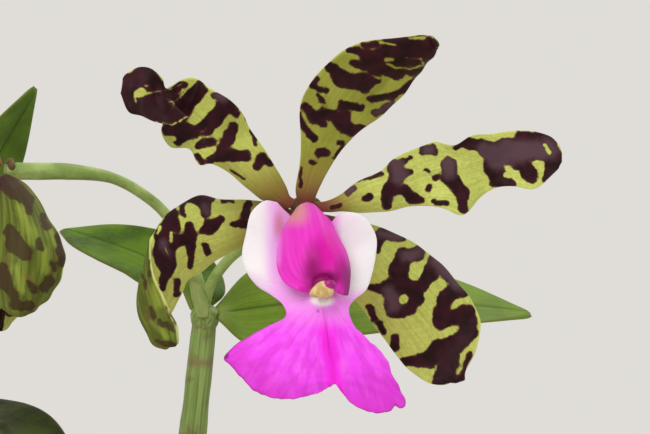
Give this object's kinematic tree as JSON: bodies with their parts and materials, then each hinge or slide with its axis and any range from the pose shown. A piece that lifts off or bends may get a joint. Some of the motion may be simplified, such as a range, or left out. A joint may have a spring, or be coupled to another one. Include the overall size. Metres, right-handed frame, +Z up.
{
  "type": "potted cattleya aclandiae orchid",
  "caption": "Potted orchid with spotted star-shaped blooms and a magenta lip on one short forked stem, fleshy paired leaves on slender pseudobulbs, and bark in a plain clay pot.",
  "frame": {"origin": "middle of the pot's flat foot, on the surface it stands on", "axes": "+Z up, -Y towards the viewer of the front bloom, +X to that viewer's right"},
  "size_m": [0.1587, 0.1338, 0.245],
  "materials": {
    "clay": "matte",
    "bark": "matte",
    "root": "matte",
    "pseudobulb": "satin",
    "sheath": "matte",
    "leaf": "satin",
    "stalk": "satin",
    "tepal": "satin",
    "lip": "satin",
    "column": "satin",
    "anther": "satin"
  },
  "bodies": {
    "root": {"pot": "clay", "bark_bed": "bark", "rhizome": "root", "pseudobulb_a": "pseudobulb", "pseudobulb_b": "pseudobulb", "pseudobulb_c": "pseudobulb", "pseudobulb_d": "pseudobulb", "new_shoot": "sheath", "floral_sheath": "sheath", "leaf_a1": "leaf", "leaf_a2": "leaf", "leaf_b1": "leaf", "leaf_b2": "leaf", "leaf_c1": "leaf", "leaf_c2": "leaf", "leaf_d1": "leaf", "flower_stem": "stalk", "front_bloom_dorsal_sepal": "tepal", "front_bloom_petal_left": "tepal", "front_bloom_petal_right": "tepal", "front_bloom_lateral_sepal_left": "tepal", "front_bloom_lateral_sepal_right": "tepal", "front_bloom_lip": "lip", "front_bloom_column": "column", "front_bloom_anther_cap": "anther", "side_bloom_dorsal_sepal": "tepal", "side_bloom_petal_left": "tepal", "side_bloom_petal_right": "tepal", "side_bloom_lateral_sepal_left": "tepal", "side_bloom_lateral_sepal_right": "tepal", "side_bloom_lip": "lip", "side_bloom_column": "column", "side_bloom_anther_cap": "anther"}
  },
  "joints": []
}
